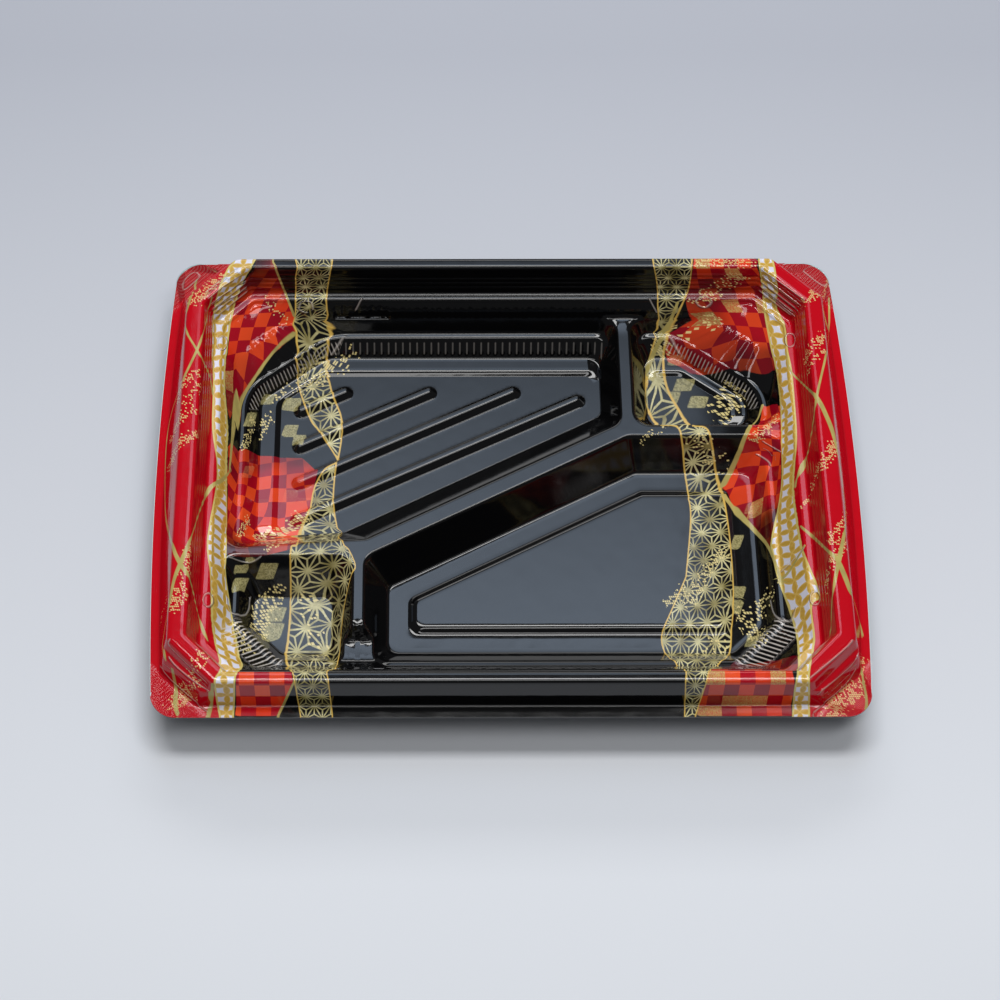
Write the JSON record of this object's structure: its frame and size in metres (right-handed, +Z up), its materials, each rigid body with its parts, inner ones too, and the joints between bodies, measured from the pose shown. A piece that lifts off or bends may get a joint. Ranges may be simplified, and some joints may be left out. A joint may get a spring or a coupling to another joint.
{
  "type": "bento container",
  "caption": "Shallow rectangular lunch tray with cut rim corners, a flat flange and four compartments parted by slanted dividers.",
  "frame": {"origin": "middle of the plan, on the surface that the tray stands on", "axes": "+X to the right along the long side, +Y to the far long side, +Z up"},
  "size_m": [0.2618, 0.193, 0.0349],
  "materials": {
    "sheet": "gloss black",
    "film": "printed gloss"
  },
  "bodies": {
    "root": {"tray_sheet": "sheet", "printed_film": "film"}
  },
  "joints": []
}
